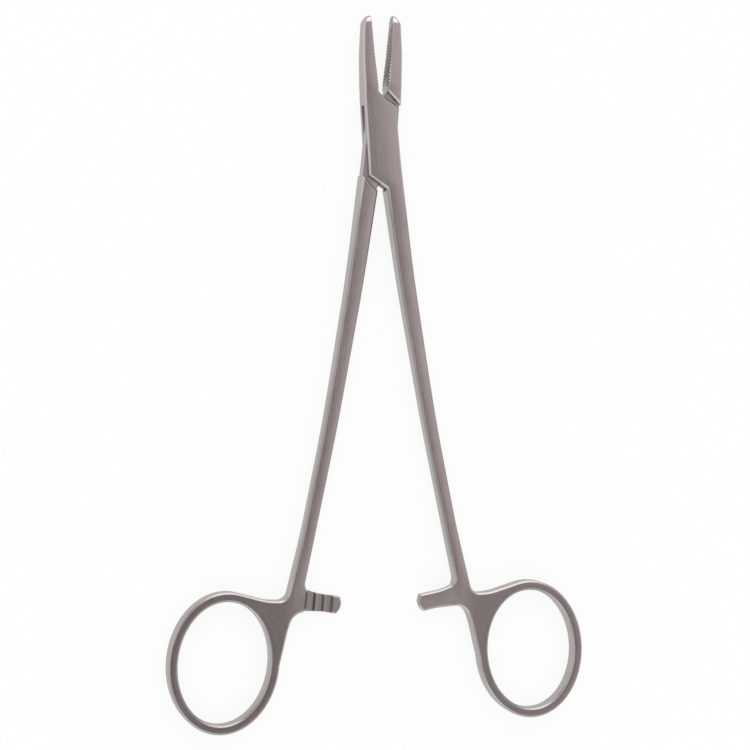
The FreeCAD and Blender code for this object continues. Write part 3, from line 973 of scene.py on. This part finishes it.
@dataclass(frozen=True)
class Surround:
    """A light tent that is darker overhead, where the camera stands."""

    dark_spot: Triple = (0.08, -0.16, 0.98)
    widest: float = 90.0
    stops: tuple[tuple[float, Colour], ...] = (
        (0.0, (0.12, 0.104, 0.104)), (9.0, (0.27, 0.235, 0.235)),
        (14.0, (0.45, 0.395, 0.395)), (19.0, (0.64, 0.565, 0.565)),
        (27.0, (0.82, 0.73, 0.73)), (45.0, (0.78, 0.73, 0.73)), (90.0, (0.80, 0.77, 0.77)))
    walls: tuple[tuple[Colour, Triple], ...] = (
        ((0.50, 0.42, 0.42), (-1.0, 0.1, 0.0)),
        ((0.90, 0.90, 1.12), (-0.3, -0.94, 0.1)),
        ((1.90, 1.82, 1.82), (0.25, 0.96, 0.1)))
    wall_share: Step = Step(0.7, 0.98)

    def build(self) -> None:
        """Make the world from the direction of each ray."""
        world = bpy.data.worlds.new("studio")
        world.use_nodes = True
        graph = Graph(world.node_tree)
        heading = graph.vector("NORMALIZE",
                               graph.node("ShaderNodeTexCoord").outputs["Generated"])
        tone = self._overhead(graph, heading)
        for colour, direction in self.walls:
            toward = graph.measure("DOT_PRODUCT", heading, direction)
            glow = graph.scaled(colour, self.wall_share.rise(graph, toward))
            tone = graph.vector("ADD", tone, glow)
        back = world.node_tree.nodes["Background"]
        graph.feed(back.inputs["Color"], tone)
        graph.feed(back.inputs["Strength"], 1.0)
        bpy.context.scene.world = world

    def _overhead(self, graph: Graph, heading: Socket) -> Socket:
        """The tone of the tent, from the angle to its dark spot.

        Args:
            graph: The world's graph.
            heading: The direction of the ray.

        Returns:
            The tone.
        """
        spot = tuple(Vector(self.dark_spot).normalized())
        facing = graph.measure("DOT_PRODUCT", heading, spot)
        angle = graph.math("DEGREES", graph.math("ARCCOSINE", facing))
        ramp = graph.node("ShaderNodeValToRGB")
        graph.feed(ramp.inputs["Fac"], graph.spread(angle, 0.0, self.widest))
        keys = ramp.color_ramp.elements
        while len(keys) < len(self.stops):
            keys.new(0.5)
        for key, (where, colour) in zip(keys, self.stops):
            key.position = where / self.widest
            key.color = (*colour, 1.0)
        return ramp.outputs["Color"]


@dataclass(frozen=True)
class PaleFloor:
    """A white table top that keeps a faint shadow."""

    half_wide: float = 3.0
    matt_white: float = 0.96
    glow_share: float = 0.88

    def build(self) -> None:
        """Add the floor."""
        w = self.half_wide
        mesh = bpy.data.meshes.new("floor")
        corners = [(-w, -w, 0.0), (w, -w, 0.0), (w, w, 0.0), (-w, w, 0.0)]
        mesh.from_pydata(corners, [], [(0, 1, 2, 3)])
        mesh.materials.append(self._material())
        floor = bpy.data.objects.new("floor", mesh)
        bpy.context.scene.collection.objects.link(floor)

    def _material(self) -> bpy.types.Material:
        """White to the eye and in reflections, plain matt for the light it passes on.

        Returns:
            The floor's material.
        """
        mat = bpy.data.materials.new("pale_floor")
        mat.use_nodes = True
        mat.node_tree.nodes.clear()
        graph = Graph(mat.node_tree)
        matt = graph.node("ShaderNodeBsdfDiffuse")
        graph.feed(matt.inputs["Color"], (self.matt_white,) * 3 + (1.0,))
        glow = graph.node("ShaderNodeEmission")
        graph.feed(glow.inputs["Strength"], 1.0)
        rays = graph.node("ShaderNodeLightPath").outputs
        seen = graph.math("MAXIMUM", rays["Is Camera Ray"], rays["Is Glossy Ray"])
        seen = graph.math("MAXIMUM", seen, rays["Is Transmission Ray"])
        mix = graph.node("ShaderNodeMixShader")
        out = graph.node("ShaderNodeOutputMaterial")
        for target, source in zip(mix.inputs, (graph.product(seen, self.glow_share),
                                               matt.outputs["BSDF"],
                                               glow.outputs["Emission"])):
            graph.feed(target, source)
        graph.feed(out.inputs["Surface"], mix.outputs["Shader"])
        return mat


@dataclass(frozen=True)
class PhotoCamera:
    """The photograph's camera, worked out from the outlines of the tool, in mm."""

    tilt_side: float = 17.0
    tilt_up: float = 2.7105
    turn: float = 0.155
    distance: float = 576.06
    aim: Pair = (-1.36186, -59.29927)
    middle: float = 2.6
    pixels_per_mm: float = 4.0
    picture_wide: float = 750.0
    sensor_wide: float = 36.0
    clip: Pair = (0.01, 20.0)

    def build(self) -> None:
        """Add the camera and make it the scene's own."""
        side, up_tilt = math.radians(self.tilt_side), math.radians(self.tilt_up)
        spin = Matrix.Rotation(math.radians(self.turn), 3, "Z")
        back = spin @ Vector((-math.sin(side) * math.cos(up_tilt), math.sin(up_tilt),
                              math.cos(side) * math.cos(up_tilt)))
        right = spin @ Vector((math.cos(side), 0.0, math.sin(side)))
        up = back.cross(right)
        aim = spin @ Vector((*self.aim, 0.0)) + Vector((0.0, 0.0, self.middle))
        place = (aim + back * self.distance) * MM
        data = bpy.data.cameras.new("photo_camera")
        data.sensor_width = self.sensor_wide
        data.lens = (self.sensor_wide * self.pixels_per_mm * self.distance
                     / self.picture_wide)
        data.clip_start, data.clip_end = self.clip
        camera = bpy.data.objects.new("photo_camera", data)
        turn = Matrix((right, up, back)).transposed().to_4x4()
        camera.matrix_world = Matrix.Translation(place) @ turn
        bpy.context.scene.collection.objects.link(camera)
        bpy.context.scene.camera = camera


@dataclass
class Studio:
    """Pale floor, light tent, soft lamps and camera."""

    lamps: tuple[SoftBox, ...] = (
        SoftBox("far_box", (-0.1, 0.70, 0.75)),
        SoftBox("near_box", (0.1, -0.85, 0.75)),
    )

    def build(self) -> None:
        """Build everything round the tool."""
        bpy.context.scene.view_settings.view_transform = "Standard"
        PaleFloor().build()
        Surround().build()
        for lamp in self.lamps:
            lamp.build()
        PhotoCamera().build()


def main() -> None:
    """Dress the tool and build the studio."""
    logging.basicConfig(level=logging.INFO)
    NeedleHolder().build()
    Studio().build()


if __name__ == "__main__":
    main()
